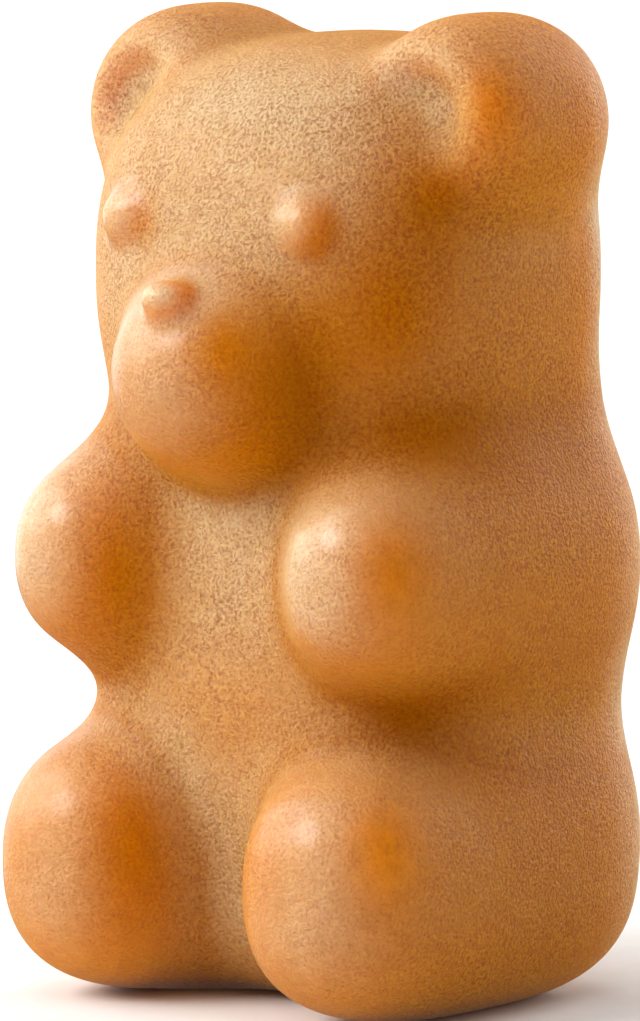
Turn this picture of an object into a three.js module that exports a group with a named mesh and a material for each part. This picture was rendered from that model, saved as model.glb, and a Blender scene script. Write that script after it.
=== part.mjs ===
// A moulded gummy bear of one piece, standing upright on the flat soles of its feet.
// Millimetres, +Z up. The bear faces -Y, its own left side is at +X, and x = 0 is its mirror plane.
// The origin is on the surface that it stands on, under the middle of its width and depth.

import * as THREE from "three";

// Driving dimensions: the pads.
// A pad is a cushion with a rounded outline seen from the front. Its values are how far its middle
// is to the side, half its width, its frontmost, widest and rearmost depth, its lowest and highest
// point, and how square it is: 2 is a true ellipse, and larger is squarer.
const TORSO = {
  side: 0, halfWidth: 5.4,
  front: -3.4, widest: 1.05, back: 5.65,
  low: 0.35, high: 15.4,
  outline: 3, frontEdge: 2.55, backEdge: 4,
};
const SEAT = {
  side: 0, halfWidth: 4.4,
  front: -2.8, widest: 1.2, back: 5.1,
  low: -0.1, high: 8,
  outline: 3, frontEdge: 3, backEdge: 3.4,
};
const HEAD = {
  side: 0, halfWidth: 5.37,
  front: -3.97, widest: 1.75, back: 4.75,
  low: 10.8, high: 21.14,
  outline: 2.5, frontEdge: 2.7, backEdge: 3.2,
};
const EAR = {
  side: 3.87, halfWidth: 2.22,
  front: -1.8, widest: 1.05, back: 3.85,
  low: 16.9, high: 21.68,
  outline: 2, frontEdge: 2.8, backEdge: 2.4,
};
const ARM = {
  side: 3.85, halfWidth: 2.07,
  front: -4.82, widest: 0.05, back: 4.65,
  low: 7.15, high: 12.25,
  outline: 2.2, frontEdge: 2.7, backEdge: 3.3,
};
const LEG = {
  side: 3.45, halfWidth: 2.48,
  front: -5.4, widest: 0.05, back: 5.3,
  low: -0.06, high: 6.12,
  outline: 2.35, frontEdge: 2.9, backEdge: 3.4,
};

// Driving dimensions: the balls.
// A ball is an ellipsoid, with its centre and its radii along X, Y and Z.
const SNOUT = { centre: [0, -3.315, 13.95], radii: [2.4, 2.35, 2.35] };
const NOSE = { centre: [0, -4.87, 15.52], radii: [0.66, 0.66, 0.62] };
const EYE = { centre: [2.42, -3.35, 17.1], radii: [0.66, 0.6, 0.66] };
const EAR_HOLLOW = { centre: [3.97, -2.35, 19.65], radii: [1.3, 1.15, 1.4] };

// How wide the soft hollow is where one form runs into the next.
const NECK_BLEND = 1.5;
const SEAT_BLEND = 0.4;
const EAR_RIM_BLEND = 0.7;
const EAR_ROOT_BLEND = 0.8;
const SNOUT_BLEND = 0.95;
const ARM_BLEND = 1.5;
const LEG_BLEND = 1.2;
const SMALL_BLEND = 0.35;

// The surface is made from a lattice of cells. Each stretch has its end and the step up to it:
// the steps are short across the face and ears, and longer on the plain sides, back and belly.
const X_FROM = -6.7;
const X_STRETCHES = [[-3.2, 0.52], [3.2, 0.41], [6.7, 0.52]];
const Y_FROM = -6.3;
const Y_STRETCHES = [[-2.6, 0.4], [3.4, 0.6], [6.2, 0.48]];
const Z_FROM = -0.8;
const Z_STRETCHES = [[1.2, 0.48], [12, 0.66], [18.2, 0.38], [22.2, 0.46]];
const RELAX_ROUNDS = 3;
const SURFACE_ROUNDS = 4;

// A number too small to see, which keeps a division by zero away, and how far apart two points are
// where a slope is measured.
const TINY = 1e-9;
const PROBE = 1e-3;

const COLOUR = 0xd98f45;
const ROUGHNESS = 0.42;

// The distance to a pad's surface, near enough: negative inside, positive outside.
function padDistance(x, y, z, pad) {
  const inFront = y < pad.widest;
  const edge = inFront ? pad.frontEdge : pad.backEdge;
  const halfDepth = inFront ? pad.widest - pad.front : pad.back - pad.widest;
  const halfHeight = (pad.high - pad.low) / 2;
  const u = Math.abs(x - pad.side) / pad.halfWidth + TINY;
  const v = Math.abs(y - pad.widest) / halfDepth + TINY;
  const w = Math.abs(z - (pad.low + pad.high) / 2) / halfHeight + TINY;
  const outline = Math.pow(u, pad.outline) + Math.pow(w, pad.outline);
  const size = Math.pow(Math.pow(outline, edge / pad.outline) + Math.pow(v, edge), 1 / edge);
  const shared = Math.pow(size, 1 - edge);
  const across = shared * Math.pow(outline, edge / pad.outline - 1);
  const slope = Math.hypot(
    (across * Math.pow(u, pad.outline - 1)) / pad.halfWidth,
    (shared * Math.pow(v, edge - 1)) / halfDepth,
    (across * Math.pow(w, pad.outline - 1)) / halfHeight,
  );
  return (size - 1) / (slope + TINY);
}

// The same for a ball.
function ballDistance(x, y, z, ball) {
  const dx = x - ball.centre[0];
  const dy = y - ball.centre[1];
  const dz = z - ball.centre[2];
  const [rx, ry, rz] = ball.radii;
  const size = Math.hypot(dx / rx, dy / ry, dz / rz);
  const slope = Math.hypot(dx / rx ** 2, dy / ry ** 2, dz / rz ** 2);
  return (size * (size - 1)) / (slope + TINY);
}

// Two forms joined with a soft hollow between them, and one form with another taken away.
function join(a, b, blend) {
  const share = Math.min(Math.max(0.5 + (0.5 * (b - a)) / blend, 0), 1);
  return b + (a - b) * share - blend * share * (1 - share);
}
function carve(a, b, blend) {
  return -join(-a, b, blend);
}

// The distance to the bear's surface. The paired parts are measured on the +X side for both.
function bearDistance(x, y, z) {
  const side = Math.abs(x);
  const ear = carve(padDistance(side, y, z, EAR), ballDistance(side, y, z, EAR_HOLLOW), EAR_RIM_BLEND);
  let distance = padDistance(x, y, z, TORSO);
  distance = join(distance, padDistance(x, y, z, SEAT), SEAT_BLEND);
  distance = join(distance, padDistance(x, y, z, HEAD), NECK_BLEND);
  distance = join(distance, ear, EAR_ROOT_BLEND);
  distance = join(distance, ballDistance(x, y, z, SNOUT), SNOUT_BLEND);
  distance = join(distance, padDistance(side, y, z, ARM), ARM_BLEND);
  distance = join(distance, padDistance(side, y, z, LEG), LEG_BLEND);
  distance = join(distance, ballDistance(x, y, z, NOSE), SMALL_BLEND);
  distance = join(distance, ballDistance(side, y, z, EYE), SMALL_BLEND);
  return distance;
}

// The lattice's places along one axis.
function stations(from, stretches) {
  const places = [from];
  let start = from;
  for (const [end, step] of stretches) {
    const count = Math.round((end - start) / step);
    for (let i = 1; i <= count; i += 1) {
      places.push(start + ((end - start) * i) / count);
    }
    start = end;
  }
  return places;
}

// A point moved straight onto the bear's surface.
function ontoSurface(point) {
  for (let round = 0; round < SURFACE_ROUNDS; round += 1) {
    const { x, y, z } = point;
    const slope = new THREE.Vector3(
      bearDistance(x + PROBE, y, z) - bearDistance(x - PROBE, y, z),
      bearDistance(x, y + PROBE, z) - bearDistance(x, y - PROBE, z),
      bearDistance(x, y, z + PROBE) - bearDistance(x, y, z - PROBE),
    ).divideScalar(2 * PROBE);
    point.addScaledVector(slope, -bearDistance(x, y, z) / slope.lengthSq());
  }
  return point;
}

// The surface as a mesh: one vertex in each cell that the surface passes through, and one
// four-sided face around each lattice edge that it crosses.
function surfaceGeometry() {
  const xs = stations(X_FROM, X_STRETCHES);
  const ys = stations(Y_FROM, Y_STRETCHES);
  const zs = stations(Z_FROM, Z_STRETCHES);
  const index = (i, j, k) => (i * ys.length + j) * zs.length + k;
  const corner = (i, j, k) => new THREE.Vector3(xs[i], ys[j], zs[k]);

  const distances = new Float64Array(xs.length * ys.length * zs.length);
  for (let i = 0; i < xs.length; i += 1) {
    for (let j = 0; j < ys.length; j += 1) {
      for (let k = 0; k < zs.length; k += 1) {
        distances[index(i, j, k)] = bearDistance(xs[i], ys[j], zs[k]);
      }
    }
  }

  const AXES = [[1, 0, 0], [0, 1, 0], [0, 0, 1]];
  const vertices = [];
  const vertexOfCell = new Map();
  const vertexIn = (i, j, k) => {
    const key = index(i, j, k);
    if (!vertexOfCell.has(key)) {
      const middle = new THREE.Vector3();
      let crossings = 0;
      AXES.forEach(([ax, ay, az], axis) => {
        const [bx, by, bz] = AXES[(axis + 1) % 3];
        const [cx, cy, cz] = AXES[(axis + 2) % 3];
        for (const [b, c] of [[0, 0], [1, 0], [0, 1], [1, 1]]) {
          const start = [i + b * bx + c * cx, j + b * by + c * cy, k + b * bz + c * cz];
          const end = [start[0] + ax, start[1] + ay, start[2] + az];
          const here = distances[index(...start)];
          const there = distances[index(...end)];
          if (here < 0 !== there < 0) {
            middle.add(corner(...start).lerp(corner(...end), here / (here - there)));
            crossings += 1;
          }
        }
      });
      vertexOfCell.set(key, vertices.length);
      vertices.push(ontoSurface(middle.divideScalar(crossings)));
    }
    return vertexOfCell.get(key);
  };

  const quads = [];
  for (let i = 1; i < xs.length - 1; i += 1) {
    for (let j = 1; j < ys.length - 1; j += 1) {
      for (let k = 1; k < zs.length - 1; k += 1) {
        const inside = distances[index(i, j, k)] < 0;
        AXES.forEach(([ax, ay, az], axis) => {
          if (inside === distances[index(i + ax, j + ay, k + az)] < 0) {
            return;
          }
          const [bx, by, bz] = AXES[(axis + 1) % 3];
          const [cx, cy, cz] = AXES[(axis + 2) % 3];
          const around = [
            vertexIn(i, j, k),
            vertexIn(i - bx, j - by, k - bz),
            vertexIn(i - bx - cx, j - by - cy, k - bz - cz),
            vertexIn(i - cx, j - cy, k - cz),
          ];
          quads.push(inside ? around : around.reverse());
        });
      }
    }
  }

  // Each vertex moves to the middle of its neighbours, along the surface, to even out the faces.
  for (let round = 0; round < RELAX_ROUNDS; round += 1) {
    const sums = vertices.map(() => new THREE.Vector3());
    const counts = vertices.map(() => 0);
    for (const quad of quads) {
      quad.forEach((vertex, turn) => {
        sums[vertex].add(vertices[quad[(turn + 1) % 4]]);
        counts[vertex] += 1;
      });
    }
    vertices.forEach((vertex, n) => {
      vertex.copy(ontoSurface(sums[n].divideScalar(counts[n])));
    });
  }

  // The soles are flat where the form would go below the surface that it stands on.
  for (const vertex of vertices) {
    vertex.z = Math.max(vertex.z, 0);
  }

  // Each four-sided face becomes two triangles along its shorter diagonal.
  const triangles = [];
  for (const [a, b, c, d] of quads) {
    if (vertices[a].distanceTo(vertices[c]) < vertices[b].distanceTo(vertices[d])) {
      triangles.push(a, b, c, a, c, d);
    } else {
      triangles.push(a, b, d, b, c, d);
    }
  }

  const geometry = new THREE.BufferGeometry();
  geometry.setAttribute("position", new THREE.Float32BufferAttribute(vertices.flatMap((v) => v.toArray()), 3));
  geometry.setIndex(triangles);
  geometry.computeVertexNormals();
  return geometry;
}

const gum = new THREE.MeshStandardMaterial({ color: COLOUR, roughness: ROUGHNESS, metalness: 0 });
const bear = new THREE.Mesh(surfaceGeometry(), gum);
bear.name = "bear";

const part = new THREE.Group();
part.add(bear);

export default part;
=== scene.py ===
"""A moulded gummy bear of caramel gum, standing upright on a pale studio floor.

The bear faces -Y and its own left side is at +X. Its form is worked out in millimetres, and its
mesh and everything else in the scene are in metres.
"""

import math

import bpy
import numpy as np
from mathutils import Matrix, Vector


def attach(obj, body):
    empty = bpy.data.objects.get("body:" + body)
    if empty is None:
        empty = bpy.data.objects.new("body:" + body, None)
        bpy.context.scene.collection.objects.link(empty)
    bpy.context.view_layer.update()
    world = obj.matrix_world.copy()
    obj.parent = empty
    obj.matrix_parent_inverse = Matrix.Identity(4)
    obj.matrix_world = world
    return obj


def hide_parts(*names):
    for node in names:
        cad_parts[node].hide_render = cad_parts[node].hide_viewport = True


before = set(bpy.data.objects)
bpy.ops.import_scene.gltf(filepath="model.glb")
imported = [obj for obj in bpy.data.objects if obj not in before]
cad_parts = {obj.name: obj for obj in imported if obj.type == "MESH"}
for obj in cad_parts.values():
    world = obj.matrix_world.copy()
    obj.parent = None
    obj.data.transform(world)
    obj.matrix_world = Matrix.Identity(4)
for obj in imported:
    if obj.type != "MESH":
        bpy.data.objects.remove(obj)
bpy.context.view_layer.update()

MM = 0.001


# Form of the bear, in millimetres

# Keeps a division or a power away from nought.
TINY = 1e-9


class Pad:
    """A cushion. The outline seen from the front, and the front and back edges seen from the side,
    are powers: 2 gives an ellipse, and more gives squarer corners."""

    def __init__(
        self, side, half_width, front, widest, back, low, high, outline, front_edge, back_edge,
    ):
        self.side, self.half_width = side, half_width
        self.front, self.widest, self.back = front, widest, back
        self.low, self.high = low, high
        self.outline, self.front_edge, self.back_edge = outline, front_edge, back_edge

    def distance(self, x, y, z):
        """How far a point is outside the pad, near enough; less than nothing inside it."""
        in_front = y < self.widest
        edge = np.where(in_front, self.front_edge, self.back_edge)
        half_depth = np.where(in_front, self.widest - self.front, self.back - self.widest)
        half_height = (self.high - self.low) / 2
        u = np.abs(x - self.side) / self.half_width + TINY
        v = np.abs(y - self.widest) / half_depth + TINY
        w = np.abs(z - (self.low + self.high) / 2) / half_height + TINY
        outline = u**self.outline + w**self.outline
        size = (outline ** (edge / self.outline) + v**edge) ** (1 / edge)
        shared = size ** (1 - edge)
        across = shared * outline ** (edge / self.outline - 1)
        slope_x = across * u ** (self.outline - 1) / self.half_width
        slope_y = shared * v ** (edge - 1) / half_depth
        slope_z = across * w ** (self.outline - 1) / half_height
        return (size - 1) / (np.sqrt(slope_x**2 + slope_y**2 + slope_z**2) + TINY)


class Ball:
    """An ellipsoid, by its centre and its radii along the axes."""

    def __init__(self, centre, radii):
        self.centre, self.radii = centre, radii

    def distance(self, x, y, z):
        along = (x - self.centre[0], y - self.centre[1], z - self.centre[2])
        size = np.sqrt(sum((a / r) ** 2 for a, r in zip(along, self.radii)))
        slope = np.sqrt(sum((a / r**2) ** 2 for a, r in zip(along, self.radii)))
        return size * (size - 1) / (slope + TINY)


TORSO = Pad(
    side=0, half_width=5.4, front=-3.4, widest=1.05, back=5.65, low=0.35, high=15.4,
    outline=3, front_edge=2.55, back_edge=4,
)
SEAT = Pad(
    side=0, half_width=4.4, front=-2.8, widest=1.2, back=5.1, low=-0.1, high=8,
    outline=3, front_edge=3, back_edge=3.4,
)
HEAD = Pad(
    side=0, half_width=5.37, front=-3.97, widest=1.75, back=4.75, low=10.8, high=21.14,
    outline=2.5, front_edge=2.7, back_edge=3.2,
)
EAR = Pad(
    side=3.87, half_width=2.22, front=-1.8, widest=1.05, back=3.85, low=16.9, high=21.68,
    outline=2, front_edge=2.8, back_edge=2.4,
)
ARM = Pad(
    side=3.85, half_width=2.07, front=-4.82, widest=0.05, back=4.65, low=7.15, high=12.25,
    outline=2.2, front_edge=2.7, back_edge=3.3,
)
LEG = Pad(
    side=3.45, half_width=2.48, front=-5.4, widest=0.05, back=5.3, low=-0.06, high=6.12,
    outline=2.35, front_edge=2.9, back_edge=3.4,
)
SNOUT = Ball((0, -3.315, 13.95), (2.4, 2.35, 2.35))
NOSE = Ball((0, -5.2, 15.68), (0.48, 0.48, 0.37))
EYE = Ball((2.46, -3.35, 17.22), (0.7, 0.65, 0.68))
EAR_HOLLOW = Ball((3.95, -2.2, 19.6), (1.5, 1.2, 1.5))

# How wide the soft hollow is where each form meets the rest.
NECK_BLEND = 1.5
SEAT_BLEND = 0.4
EAR_RIM_BLEND = 0.45
EAR_ROOT_BLEND = 0.8
SNOUT_BLEND = 0.95
ARM_BLEND = 1.5
LEG_BLEND = 1.2
NOSE_BLEND = 0.55
EYE_BLEND = 0.3

# The lattice that the skin is made from: its spacing, and its two ends along each axis.
CELL = 0.12
LATTICE = ((-6.6, 6.6), (-6.1, 6.1), (-0.6, 22.1))

# How often the skin's points are evened out, and how many steps bring a point onto the surface.
RELAX_ROUNDS = 2
SURFACE_ROUNDS = 3

# Half the distance over which a slope is measured.
PROBE = 1e-3

# How far from the nearest form a point of a hollow is where it counts as wholly in a crease.
CREASE_DEPTH = 0.35


def join(a, b, blend):
    """Two forms joined, with a soft hollow as wide as blend between them."""
    share = np.clip(0.5 + 0.5 * (b - a) / blend, 0, 1)
    return b + (a - b) * share - blend * share * (1 - share)


def carve(a, b, blend):
    """One form with another taken away."""
    return -join(-a, b, blend)


def bear_distance(x, y, z):
    """How far a point is outside the bear. Both of a pair are measured on the +X side."""
    side = np.abs(x)
    ear = carve(EAR.distance(side, y, z), EAR_HOLLOW.distance(side, y, z), EAR_RIM_BLEND)
    distance = TORSO.distance(x, y, z)
    distance = join(distance, SEAT.distance(x, y, z), SEAT_BLEND)
    distance = join(distance, HEAD.distance(x, y, z), NECK_BLEND)
    distance = join(distance, ear, EAR_ROOT_BLEND)
    distance = join(distance, SNOUT.distance(x, y, z), SNOUT_BLEND)
    distance = join(distance, ARM.distance(side, y, z), ARM_BLEND)
    distance = join(distance, LEG.distance(side, y, z), LEG_BLEND)
    distance = join(distance, NOSE.distance(x, y, z), NOSE_BLEND)
    distance = join(distance, EYE.distance(side, y, z), EYE_BLEND)
    return distance


def slope_at(points):
    """Which way is straight out from the bear at each point."""
    x, y, z = points.T
    return np.stack([
        bear_distance(x + PROBE, y, z) - bear_distance(x - PROBE, y, z),
        bear_distance(x, y + PROBE, z) - bear_distance(x, y - PROBE, z),
        bear_distance(x, y, z + PROBE) - bear_distance(x, y, z - PROBE),
    ], axis=1) / (2 * PROBE)


# The material paints shade in creases by this depth.
def crease(points):
    """How deep each point is in a hollow where two forms meet, from 0 to 1."""
    x, y, z = points.T
    side = np.abs(x)
    nearest = np.minimum.reduce([
        TORSO.distance(x, y, z),
        SEAT.distance(x, y, z),
        HEAD.distance(x, y, z),
        EAR.distance(side, y, z),
        SNOUT.distance(x, y, z),
        NOSE.distance(x, y, z),
        EYE.distance(side, y, z),
        ARM.distance(side, y, z),
        LEG.distance(side, y, z),
    ])
    return np.clip(nearest / CREASE_DEPTH, 0, 1)


def onto_surface(points):
    """Points moved straight onto the bear's surface."""
    for _ in range(SURFACE_ROUNDS):
        slope = slope_at(points)
        points = points - slope * (bear_distance(*points.T) / (slope**2).sum(axis=1))[:, None]
    return points


def skin():
    """The surface's points, and its four-sided faces: one point in each cell of the lattice that
    the surface passes through, and one face around each lattice edge that it crosses."""
    places = [np.linspace(low, high, round((high - low) / CELL) + 1) for low, high in LATTICE]
    distances = bear_distance(*np.meshgrid(*places, indexing="ij"))
    counts = np.array(distances.shape)
    strides = np.array([counts[1] * counts[2], counts[2], 1])
    flat = distances.ravel()

    cells, crossings, faces = [], [], []
    for axis in range(3):
        starts = np.argwhere(np.diff(distances < 0, axis=axis))
        ends = starts.copy()
        ends[:, axis] += 1
        here, there = flat[starts @ strides], flat[ends @ strides]
        share = (here / (here - there))[:, None]
        start_points = np.stack([places[i][starts[:, i]] for i in range(3)], axis=1)
        end_points = np.stack([places[i][ends[:, i]] for i in range(3)], axis=1)
        second, third = np.roll(np.eye(3, dtype=int), -axis - 1, axis=0)[:2]
        corners = (0 * second, second, second + third, third)
        around = np.stack([(starts - corner) @ strides for corner in corners], axis=1)
        faces.append(np.where((here < 0)[:, None], around, around[:, ::-1]))
        cells.append(around.ravel())
        crossings.append(np.repeat(start_points + (end_points - start_points) * share, 4, axis=0))

    used, order = np.unique(np.concatenate(cells), return_inverse=True)
    crossings = np.concatenate(crossings)
    members = np.bincount(order)
    points = np.stack([np.bincount(order, crossings[:, i]) / members for i in range(3)], axis=1)
    faces = np.searchsorted(used, np.concatenate(faces))
    points = onto_surface(points)

    first, after = faces.ravel(), np.roll(faces, -1, axis=1).ravel()
    neighbours = np.bincount(first)
    for _ in range(RELAX_ROUNDS):
        sums = np.stack([np.bincount(first, points[after, i]) for i in range(3)], axis=1)
        points = onto_surface(sums / neighbours[:, None])
    points[:, 2] = np.maximum(points[:, 2], 0)
    return points, faces


# Where the smooth skin of what stands out ends, how softly it ends, and how far past it spreads.
FRONT_OF_BULGES = -1.2
BULGE_FADE = 2.4
BULGE_SPREAD = 0.35


def bulge(points):
    """How much each point is on what stands out smoothly: arms, feet, snout, nose and eyes."""
    x, y, z = points.T
    side = np.abs(x)
    nearest = np.minimum.reduce([
        ARM.distance(side, y, z),
        LEG.distance(side, y, z),
        SNOUT.distance(x, y, z),
        NOSE.distance(x, y, z),
        EYE.distance(side, y, z),
    ])
    forward = np.clip((FRONT_OF_BULGES - y) / BULGE_FADE, 0, 1)
    return np.clip(1 - nearest / BULGE_SPREAD, 0, 1) * forward


# Patches of painted shade and light: a place in millimetres, how far it reaches along each axis,
# how much pale bloom it takes away, which paints deeper orange shade there, and how much painted
# orange glow it adds. Less than nothing means more pale bloom, which paints a highlight or a pale
# rim, or painted shade that makes the gum duller and darker.
PAINTED_SHADING_PLACES = {
    "near ear's rim": ((5.6, -1.0, 19.8), (0.7, 0.8, 1.2), 0.85, 0.5),
    "temple": ((4.7, -1.9, 17.8), (1.3, 1.3, 1.6), 1.0, -0.25),
    "cheek": ((4.1, -2.6, 15.5), (2.0, 1.5, 2.6), 1.0, -0.3),
    "cheek beside the snout": ((2.9, -3.5, 14.8), (1.7, 1.3, 1.8), 0.9, -0.05),
    "neck's side": ((4.3, -2.0, 12.8), (2.6, 1.8, 1.0), 1.0, -0.2),
    "snout's side": ((2.1, -4.2, 13.6), (0.9, 1.1, 1.5), 0.8, 0.0),
    "under the snout": ((1.7, -3.9, 12.3), (1.6, 1.3, 0.8), 1.0, 0.0),
    "far arm's inner side": ((-2.4, -3.9, 9.5), (1.35, 1.4, 2.5), 1.0, 0.05),
    "near arm's outer side": ((5.2, -3.9, 10.0), (0.9, 1.0, 1.3), 0.9, 0.3),
    "waist": ((4.5, -2.4, 6.7), (1.9, 1.6, 0.9), 1.0, -0.45),
    "belly": ((0.6, -3.2, 6.6), (3.0, 2.0, 2.0), 0.55, 0.0),
    "far foot's inner side": ((-1.8, -4.3, 3.5), (1.2, 1.3, 2.6), 1.0, 0.15),
    "near foot's outer side": ((5.2, -4.1, 4.1), (0.8, 1.0, 1.5), 0.9, 0.6),
    "nose": ((0.35, -5.45, 15.75), (0.8, 0.7, 0.55), -1.0, 0.1),
    "far arm's front": ((-5.2, -4.3, 10.2), (1.3, 1.3, 1.6), -0.6, 0.0),
    "near arm's front": ((2.7, -4.8, 10.3), (1.1, 1.2, 1.6), -0.4, 0.0),
    "near eye's inner side": ((2.3, -4.0, 16.8), (0.5, 0.5, 0.5), -0.3, 0.0),
    "near eye's lower side": ((3.1, -3.7, 16.9), (0.4, 0.4, 0.6), 0.6, -0.1),
    "far eye's outer side": ((-2.4, -4.0, 16.8), (0.5, 0.5, 0.5), -0.3, 0.0),
    "back edge": ((5.4, 4.4, 10.5), (1.7, 1.6, 9.0), -1.6, 0.35),
    "near ear's hollow": ((3.8, -1.5, 19.5), (0.7, 0.8, 0.8), 0.1, 0.1),
    "far sole's edge": ((-4.0, -5.0, 0.9), (2.6, 1.6, 1.0), 0.0, 0.35),
    "near sole's edge": ((3.0, -5.2, 0.8), (3.0, 1.6, 1.0), 0.0, 0.25),
    "near ear's top": ((4.6, 1.5, 21.3), (2.0, 2.2, 1.2), 0.35, 0.0),
    "band under the ear": ((5.3, 2.2, 17.3), (1.0, 2.2, 1.0), -1.5, 0.45),
    "band under the arm": ((5.4, 1.5, 8.0), (1.0, 2.6, 0.8), -1.5, 0.1),
    "shoulder": ((5.0, 0.8, 12.0), (1.0, 2.6, 1.1), 0.9, 0.0),
    "hip": ((5.3, 0.0, 5.4), (1.0, 2.6, 0.9), 0.6, 0.0),
    "top of the head": ((0.5, -2.6, 20.4), (3.0, 2.0, 1.4), -0.35, 0.0),
    "crease above the far foot": ((-1.6, -3.4, 5.2), (1.0, 1.0, 1.2), -0.8, 0.0),
    "snout's upper side": ((1.5, -4.9, 14.6), (1.1, 1.2, 1.3), 1.0, 0.0),
    "snout's root": ((2.6, -3.9, 13.8), (1.0, 1.2, 1.5), 0.9, -0.3),
    "snout's lower front": ((0.6, -5.2, 13.4), (2.0, 1.4, 1.5), 0.1, -0.1),
    "snout's far front": ((-0.7, -5.3, 14.2), (1.3, 1.2, 1.5), 0.25, 0.0),
    "near foot's front": ((2.2, -5.1, 3.6), (2.2, 1.5, 2.6), 0.6, 0.0),
    "far foot's front": ((-4.6, -4.6, 3.6), (2.2, 1.8, 2.6), 0.6, 0.0),
    "thigh": ((5.6, 0.5, 3.5), (1.2, 3.0, 3.0), 0.0, -0.12),
    "near eye's upper side": ((3.1, -3.6, 17.4), (0.4, 0.4, 0.5), 0.5, 0.0),
    "far eye's inner side": ((-1.8, -3.8, 17.1), (0.4, 0.4, 0.6), 0.7, 0.0),
}


# The way that skin faces where the bloom is thickest, which faces the key lamps, so that the bloom
# there is partly painted light; how far past a right angle from it the bloom ends, and how fast it
# thins out up to there.
LIT_BLOOM_FACING = np.array((0, -0.96, 0.28))
LIT_BLOOM_ENDS = 0.1
LIT_BLOOM_POWER = 1.5

# The least and the greatest share that bloom covers before the patches of painted shade and light
# take bloom away or add more, and the greatest that it covers anywhere.
LEAST_BLOOM = 0.04
MOST_BLOOM = 0.43
THICKEST_BLOOM = 0.6

# The back's bloom beside the front's, which paints the pale rims on the back edges, how far
# backwards the skin has to face for it to begin, and over what turn it grows to its full share.
BACK_BLOOM_AND_RIM_LIGHT = 0.7
BACK_STARTS = 0.1
BACK_FADE = 0.5

# The bloom of the bear's own right side beside the front's; that side faces the lamps, so this
# bloom is partly painted light.
RIGHT_BLOOM_AND_LIGHT = 0.35

# The share of the bloom taken from skin facing straight down, which paints shade underneath.
PAINTED_SHADE_UNDERNEATH = 0.5


def bloom_and_painted_light(points):
    """The share of each point's skin that bloom covers: most in front, less on top and on the
    back, and least on the sides, underneath and in the patches of painted shade. The bloom is
    partly
    real and partly painted light: more of it where the lamps fall and on the back rims paints
    light, and less underneath and in the patches paints shade."""
    slope = slope_at(points)
    outward = slope / np.linalg.norm(slope, axis=1)[:, None]
    in_front = np.clip(outward @ LIT_BLOOM_FACING + LIT_BLOOM_ENDS, 0, 1) ** LIT_BLOOM_POWER
    behind = np.clip((outward[:, 1] - BACK_STARTS) / BACK_FADE, 0, 1) * BACK_BLOOM_AND_RIM_LIGHT
    on_right = np.clip(-outward[:, 0], 0, 1) * RIGHT_BLOOM_AND_LIGHT
    share = np.maximum.reduce([in_front, behind, on_right])
    share = LEAST_BLOOM + (MOST_BLOOM - LEAST_BLOOM) * share
    share *= np.clip(1 + PAINTED_SHADE_UNDERNEATH * outward[:, 2], 0, 1)
    # Painted shade where a patch takes bloom away, and painted highlights where it adds bloom.
    for place, reach, painted_shading, _ in PAINTED_SHADING_PLACES.values():
        share *= 1 - painted_shading * nearness(points, place, reach)
    return np.minimum(share, THICKEST_BLOOM)


def nearness(points, place, reach):
    """1 at a place, falling softly to 0 past its reach."""
    return np.exp(-(((points - place) / reach) ** 2).sum(axis=1))


def painted_glow_and_shade(points):
    """How much painted orange glow each point has, where the gum is made clearer; less than
    nothing where painted shade makes it duller.
    """
    return sum(
        clear * nearness(points, place, reach) for place, reach, _, clear in PAINTED_SHADING_PLACES.values()
    )


# Measures of the skin that the gum material reads, by their names in the mesh.
SMOOTHNESS = "smoothness"
BLOOM_AND_PAINTED_LIGHT = "bloom_and_painted_light"
CREASE_SHADE = "crease"
GLOW_AND_SHADE = "painted_glow_and_shade"
MEASURES = {SMOOTHNESS: bulge, BLOOM_AND_PAINTED_LIGHT: bloom_and_painted_light, CREASE_SHADE: crease, GLOW_AND_SHADE: painted_glow_and_shade}


def make_bear():
    """The bear's one piece, in metres."""
    points, faces = skin()
    mesh = bpy.data.meshes.new("gum_bear")
    mesh.vertices.add(len(points))
    mesh.vertices.foreach_set("co", (points * MM).ravel())
    mesh.loops.add(faces.size)
    mesh.loops.foreach_set("vertex_index", faces.ravel())
    mesh.polygons.add(len(faces))
    mesh.polygons.foreach_set("loop_start", np.arange(len(faces)) * 4)
    mesh.polygons.foreach_set("use_smooth", np.ones(len(faces), dtype=bool))
    mesh.update(calc_edges=True)
    for name, measure in MEASURES.items():
        mesh.attributes.new(name, "FLOAT", "POINT").data.foreach_set("value", measure(points))
    piece = bpy.data.objects.new("gum_bear", mesh)
    bpy.context.collection.objects.link(piece)
    return piece


# Material tree tools

class Number:
    """A number in a node tree. Python's operators on it add Math nodes."""

    def __init__(self, tree, socket):
        self.tree, self.socket = tree, socket

    def _math(self, operation, *values):
        node = self.tree.nodes.new("ShaderNodeMath")
        node.operation = operation
        for slot, value in zip(node.inputs, values):
            if isinstance(value, Number):
                self.tree.links.new(value.socket, slot)
            else:
                slot.default_value = value
        return Number(self.tree, node.outputs[0])

    def __add__(self, other):
        return self._math("ADD", self, other)

    def __radd__(self, other):
        return self._math("ADD", other, self)

    def __sub__(self, other):
        return self._math("SUBTRACT", self, other)

    def __rsub__(self, other):
        return self._math("SUBTRACT", other, self)

    def __mul__(self, other):
        return self._math("MULTIPLY", self, other)

    def __truediv__(self, other):
        return self._math("DIVIDE", self, other)

    def at_least(self, other):
        return self._math("MAXIMUM", self, other)

    def at_most(self, other):
        return self._math("MINIMUM", self, other)

    def within(self, low, high):
        """0 at low, 1 at high, and straight between."""
        return ((self - low) / (high - low)).at_least(0).at_most(1)


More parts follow.
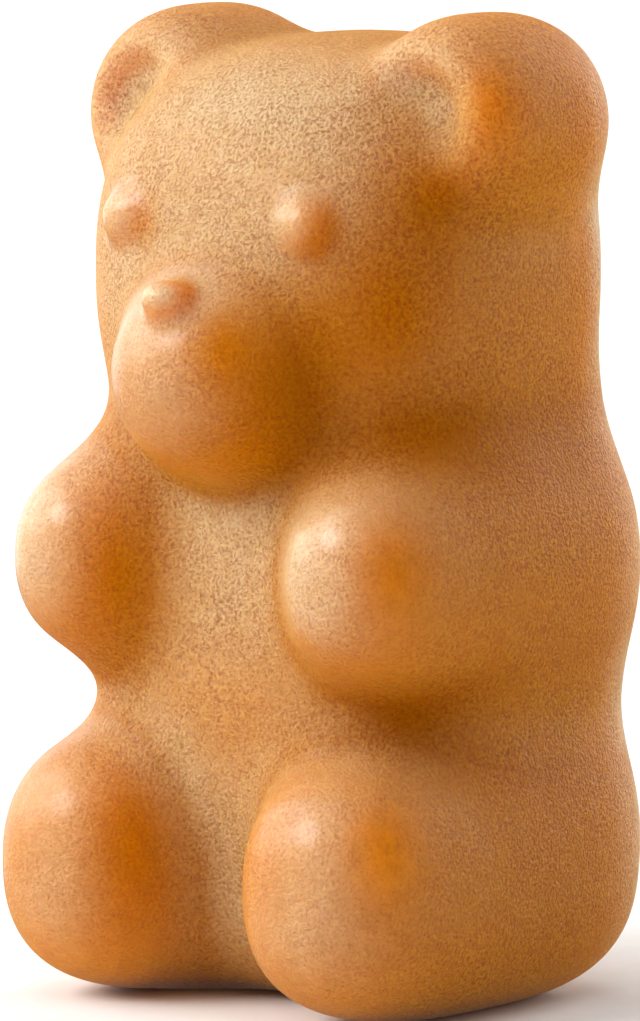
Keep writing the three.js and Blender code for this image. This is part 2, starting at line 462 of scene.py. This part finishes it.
class Tree:
    """A material's or world's node tree."""

    def __init__(self, owner):
        owner.use_nodes = True
        self.tree = owner.node_tree
        self.tree.nodes.clear()

    def node(self, kind, settings=None, **values):
        """Adds a node; values are its sockets' names, with _ for a space, and what goes in."""
        node = self.tree.nodes.new(kind)
        for name, setting in (settings or {}).items():
            setattr(node, name, setting)
        for name, value in values.items():
            self.put(node.inputs[name.replace("_", " ")], value)
        return node

    def put(self, slot, value):
        """Links a number or a socket to a slot, or sets the slot's own value."""
        if isinstance(value, Number):
            value = value.socket
        if isinstance(value, bpy.types.NodeSocket):
            self.tree.links.new(value, slot)
        else:
            slot.default_value = value

    def number(self, socket):
        """An output as a number to reckon with."""
        return Number(self.tree, socket)

    def vector(self, operation, first, second):
        """A Vector Math node on two vectors."""
        node = self.node("ShaderNodeVectorMath", {"operation": operation})
        self.put(node.inputs[0], first)
        self.put(node.inputs[1], second)
        return node.outputs["Vector"]

    def mix(self, share, first, second):
        """A colour between two colours."""
        node = self.node("ShaderNodeMix", {"data_type": "RGBA"})
        self.put(node.inputs[0], share)
        self.put(node.inputs[6], first)
        self.put(node.inputs[7], second)
        return node.outputs[2]


def colour(red, green, blue):
    """A colour from its 0 to 255 screen values, as light."""
    def light(value):
        value /= 255
        return value / 12.92 if value <= 0.04045 else ((value + 0.055) / 1.055) ** 2.4
    return (light(red), light(green), light(blue), 1)


# Gum material

# The gum's colours: where its grain is low and high, which is partly the grain's own tone and
# partly painted shade in its hollows and painted light on its tops; where it is cloudy; its
# painted glow, where it is clear; painted shade in creases; and painted shade in pits.
GUM_LOW_TONE_AND_SHADE = colour(173, 90, 0)
GUM_HIGH_TONE_AND_LIGHT = colour(219, 142, 4)
GUM_CLOUDY = colour(190, 104, 0)
GUM_PAINTED_GLOW = colour(232, 146, 0)
GUM_PAINTED_SHADE = colour(150, 68, 0)
GUM_PIT_SHADE = colour(150, 70, 0)

# How much of a colour its places take on.
CLOUDY_SHARE = 0.15
CREASE_SHADE_SHARE = 0.25
GUM_PIT_SHADE_SHARE = 0.35
BLOOM_PIT_SHADE_SHARE = 0.12

# The bloom's colours: a thinner and a thicker one, and painted shade in pits.
BLOOM_THIN = colour(223, 207, 163)
BLOOM_THICK = colour(232, 218, 179)
BLOOM_PIT_SHADE = colour(205, 130, 40)

# How much the bloom is thinned in creases and in pits, which paints shade there, and how much it
# follows the grain, which paints the grain's tops paler.
BLOOM_CUT_FOR_CREASE_SHADE = 0.6
BLOOM_CUT_FOR_PIT_SHADE = 0.06
BLOOM_FOLLOWS_GRAIN = 0.45

# The grain's contrast, the weights of its fine and its coarse part, and how much of it smooth skin
# lacks.
GRAIN_CONTRAST = 4.5
FINE_WEIGHT = 0.6
LUMP_WEIGHT = 0.4
GRAIN_LOST_WHERE_SMOOTH = 0.4

# The heights in the grain, as shares of GRAIN_HEIGHT, which is in metres.
FINE_HEIGHT = 0.7
LUMP_HEIGHT = 0.6
PIT_DEPTH = 0.15
MOTTLE_HEIGHT = 0.15
GRAIN_HEIGHT = 0.00012

# Roughness of the smoothest skin, and how much more the grained skin has.
SMOOTH_ROUGHNESS = 0.38
ADDED_ROUGHNESS = 0.14

# The most gloss, and how fast it grows with the bloom.
MOST_GLOSS = 0.7
GLOSS_GROWTH = 2
GLOSS_ROUGHNESS = 0.24

GUM_IOR = 1.4
AMBER_REFLECTION = (1, 0.45, 0.05, 1)

# How far red, green and blue light travel inside the gum, as shares of LIGHT_REACH, which is in
# metres.
LIGHT_REACHES = (1.0, 0.45, 0.1)
LIGHT_REACH = 0.003


def skin_shader(tree, base, roughness, bump, gloss):
    """A shader with the skin's grain and gloss."""
    shader = tree.node(
        "ShaderNodeBsdfPrincipled", Base_Color=base, Roughness=roughness, Normal=bump,
        Coat_Weight=gloss,
    )
    shader.inputs["IOR"].default_value = GUM_IOR
    shader.inputs["Coat Roughness"].default_value = GLOSS_ROUGHNESS
    return shader


def gum_material():
    """Cooked caramel gum under a thin pale bloom. Red light travels far inside the gum, green less
    and blue hardly, and the bloom scatters light back at once. The skin is finely grained, and
    smoother on what stands out. Light and shade are painted in too: more pale bloom where the
    lamps fall and on the back rims, painted glow, and painted shade as deeper orange where bloom
    is taken away, in creases, underneath and in the grain's hollows and pits."""
    material = bpy.data.materials.new("caramel_gum")
    tree = Tree(material)
    place = tree.node("ShaderNodeTexCoord").outputs["Object"]
    place = tree.vector("MULTIPLY", place, (1 / MM, 1 / MM, 1 / MM))
    # cover is the bloom's share, partly painted light; hollow is the depth in a crease, by which
    # shade is painted; clear is the painted glow, and below nothing painted shade.
    smooth, cover, hollow, clear = (
        tree.number(tree.node("ShaderNodeAttribute", {"attribute_name": name}).outputs["Fac"])
        for name in (SMOOTHNESS, BLOOM_AND_PAINTED_LIGHT, CREASE_SHADE, GLOW_AND_SHADE)
    )

    def noise(scale, detail=2, roughness=0.5, distortion=0):
        """Noise over the skin, with scale in lumps a millimetre."""
        made = tree.node(
            "ShaderNodeTexNoise", Vector=place, Scale=scale, Detail=detail,
            Roughness=roughness, Distortion=distortion,
        )
        return tree.number(made.outputs["Fac"])

    clouds = noise(0.5, detail=1)
    mottle = noise(2.2).within(0.35, 0.65)
    lumps = noise(12, detail=1, distortion=0.15)
    fine = noise(14, detail=3, roughness=0.6)
    strength = clouds.within(0.3, 0.65) * 0.5 + 0.5
    strength = strength * (1 - smooth * GRAIN_LOST_WHERE_SMOOTH)
    pits = 1 - fine.within(0.33, 0.45)
    grain = fine * FINE_WEIGHT + lumps * LUMP_WEIGHT - 0.5
    grain = 0.5 + grain * strength * GRAIN_CONTRAST

    roughness = SMOOTH_ROUGHNESS + (1 - smooth) * ADDED_ROUGHNESS
    gloss = smooth * (cover * GLOSS_GROWTH).at_most(MOST_GLOSS)
    height = fine * FINE_HEIGHT + lumps * LUMP_HEIGHT - pits * PIT_DEPTH
    height = height * strength + mottle * MOTTLE_HEIGHT
    bump = tree.node("ShaderNodeBump", Strength=1, Distance=GRAIN_HEIGHT, Height=height)
    bump = bump.outputs["Normal"]

    # Painted glow: clearer, brighter orange where the patches put it.
    painted_glow = (clear * (0.6 + mottle * 0.8)).at_least(0)
    # Painted shade: darker, duller orange in creases and where the patches put it.
    painted_shade = (hollow * CREASE_SHADE_SHARE - clear.at_most(0)).at_most(1)
    # The grain's colour follows its bump height: the low parts are partly painted shade and the
    # tops partly painted light.
    inside = tree.mix(grain.at_least(0).at_most(1), GUM_LOW_TONE_AND_SHADE, GUM_HIGH_TONE_AND_LIGHT)
    inside = tree.mix((1 - mottle) * CLOUDY_SHARE, inside, GUM_CLOUDY)
    inside = tree.mix(painted_glow, inside, GUM_PAINTED_GLOW)
    inside = tree.mix(painted_shade, inside, GUM_PAINTED_SHADE)
    # Painted shade in the grain's pits.
    inside = tree.mix(pits * strength * GUM_PIT_SHADE_SHARE, inside, GUM_PIT_SHADE)
    gum = skin_shader(tree, inside, roughness, bump, gloss)
    gum.subsurface_method = "RANDOM_WALK"
    gum.inputs["Specular Tint"].default_value = AMBER_REFLECTION
    gum.inputs["Subsurface Weight"].default_value = 1
    gum.inputs["Subsurface Radius"].default_value = LIGHT_REACHES
    gum.inputs["Subsurface Scale"].default_value = LIGHT_REACH

    pale = tree.mix(mottle, BLOOM_THIN, BLOOM_THICK)
    # Painted shade in the pits of the bloom.
    pale = tree.mix(pits * strength * BLOOM_PIT_SHADE_SHARE, pale, BLOOM_PIT_SHADE)
    bloom_and_painted_light = skin_shader(tree, pale, roughness, bump, gloss)
    # More bloom on the grain's tops paints them paler, and less in pits and creases paints shade
    # there.
    share = 1 + (grain - 0.5) * BLOOM_FOLLOWS_GRAIN - pits * strength * BLOOM_CUT_FOR_PIT_SHADE
    share = cover * (1 - hollow * BLOOM_CUT_FOR_CREASE_SHADE) * share
    skin = tree.node("ShaderNodeMixShader", Fac=share)
    tree.put(skin.inputs[1], gum.outputs["BSDF"])
    tree.put(skin.inputs[2], bloom_and_painted_light.outputs["BSDF"])
    tree.node("ShaderNodeOutputMaterial", Surface=skin.outputs["Shader"])
    return material


# The studio board: its two shades, how fine its tooth is in lumps a metre, and its roughness.
BOARD_SHADES = (colour(244, 243, 241), colour(248, 247, 246))
BOARD_TOOTH = 900
BOARD_ROUGHNESS = 0.9


def floor_material():
    """Matt white studio board with a faint tooth."""
    material = bpy.data.materials.new("studio_board")
    tree = Tree(material)
    place = tree.node("ShaderNodeTexCoord").outputs["Object"]
    tooth = tree.node("ShaderNodeTexNoise", Vector=place, Scale=BOARD_TOOTH, Detail=2)
    tooth = tree.number(tooth.outputs["Fac"]).within(0.3, 0.7)
    shade = tree.mix(tooth, *BOARD_SHADES)
    shader = tree.node("ShaderNodeBsdfPrincipled", Base_Color=shade, Roughness=BOARD_ROUGHNESS)
    tree.node("ShaderNodeOutputMaterial", Surface=shader.outputs["BSDF"])
    return material


# Studio

# The floor's radius in metres, and the corners of its rim.
FLOOR_RADIUS = 1.6
RIM_CORNERS = 96


def make_floor():
    """A round board, larger than any view of the bear takes in."""
    turns = [math.tau * i / RIM_CORNERS for i in range(RIM_CORNERS)]
    rim = [(FLOOR_RADIUS * math.cos(turn), FLOOR_RADIUS * math.sin(turn), 0) for turn in turns]
    mesh = bpy.data.meshes.new("studio_floor")
    mesh.from_pydata(rim, [], [list(range(RIM_CORNERS))])
    board = bpy.data.objects.new("studio_floor", mesh)
    bpy.context.collection.objects.link(board)
    mesh.materials.append(floor_material())
    board.visible_glossy = False
    return board


# The photograph's view: how far round to the bear's left and how far up it is taken from.
VIEW_ROUND = math.radians(39.7)
VIEW_UP = math.radians(6.2)

# The picture's height and the lens's focal length in pixels, and the picture's scale at AIM, which
# is halfway up the picture and AIM_RIGHT_OF_MIDDLE pixels to the right of its middle.
PICTURE_HEIGHT = 1021
FOCAL_LENGTH_PIXELS = 7800
PIXELS_PER_METRE = 45400
AIM = Vector((0, 1.05, 10.6)) * MM
AIM_RIGHT_OF_MIDDLE = 30

# The camera's sensor in millimetres, and the nearest and farthest that it sees in metres.
SENSOR = 36
CLIP = (0.01, 10)

# The ways back from the bear to the camera, to the picture's right and up the picture.
BACK = Vector((
    math.sin(VIEW_ROUND) * math.cos(VIEW_UP),
    -math.cos(VIEW_ROUND) * math.cos(VIEW_UP),
    math.sin(VIEW_UP),
))
RIGHT = Vector((math.cos(VIEW_ROUND), math.sin(VIEW_ROUND), 0))
UP = BACK.cross(RIGHT)


def make_camera():
    """A camera where the photograph was taken from."""
    data = bpy.data.cameras.new("camera")
    data.lens = SENSOR * FOCAL_LENGTH_PIXELS / PICTURE_HEIGHT
    data.sensor_width = SENSOR
    data.clip_start, data.clip_end = CLIP
    camera = bpy.data.objects.new("camera", data)
    bpy.context.collection.objects.link(camera)
    distance = FOCAL_LENGTH_PIXELS / PIXELS_PER_METRE
    aside = RIGHT * (AIM_RIGHT_OF_MIDDLE / PIXELS_PER_METRE)
    turn = Matrix((RIGHT, UP, BACK)).transposed().to_4x4()
    camera.matrix_world = Matrix.Translation(AIM + BACK * distance - aside) @ turn
    bpy.context.scene.camera = camera


# Each lamp: its way round from the camera's side towards the picture's right and its way up, in
# degrees, its light in watts a square metre, and how wide it looks from the bear, in degrees.
LAMPS = {
    "left_window": (258, 30, 1.82, 50),
    "key_window": (292, 36, 1.61, 28),
    "left_behind": (215, 14, 0.8, 50),
    "overhead": (320, 78, 1.0, 80),
    "right_behind": (138, 14, 2.0, 40),
}

# The even light from all round.
SKY_STRENGTH = 0.25


def make_lamp(name, around, up, strength, width):
    """A soft lamp, far enough away to light the whole floor evenly."""
    data = bpy.data.lights.new(name, "SUN")
    data.energy = strength
    data.angle = math.radians(width)
    lamp = bpy.data.objects.new(name, data)
    bpy.context.collection.objects.link(lamp)
    around, up = math.radians(around), math.radians(up)
    level = Vector((BACK.x, BACK.y, 0)).normalized() * math.cos(around) + RIGHT * math.sin(around)
    towards = level * math.cos(up) + Vector((0, 0, math.sin(up)))
    lamp.rotation_mode = "QUATERNION"
    lamp.rotation_quaternion = towards.to_track_quat("Z", "Y")


def light_studio():
    """The lamps, and a faint even light from all round."""
    for name, placing in LAMPS.items():
        make_lamp(name, *placing)
    world = bpy.data.worlds.new("studio")
    bpy.context.scene.world = world
    tree = Tree(world)
    sky = tree.node("ShaderNodeBackground", Color=(1, 1, 1, 1), Strength=SKY_STRENGTH)
    tree.node("ShaderNodeOutputWorld", Surface=sky.outputs["Background"])


# Scene

bear = make_bear()
bear.data.materials.append(gum_material())
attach(bear, "root")
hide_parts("bear")
make_floor()
make_camera()
light_studio()
bpy.context.scene.view_settings.view_transform = "Standard"
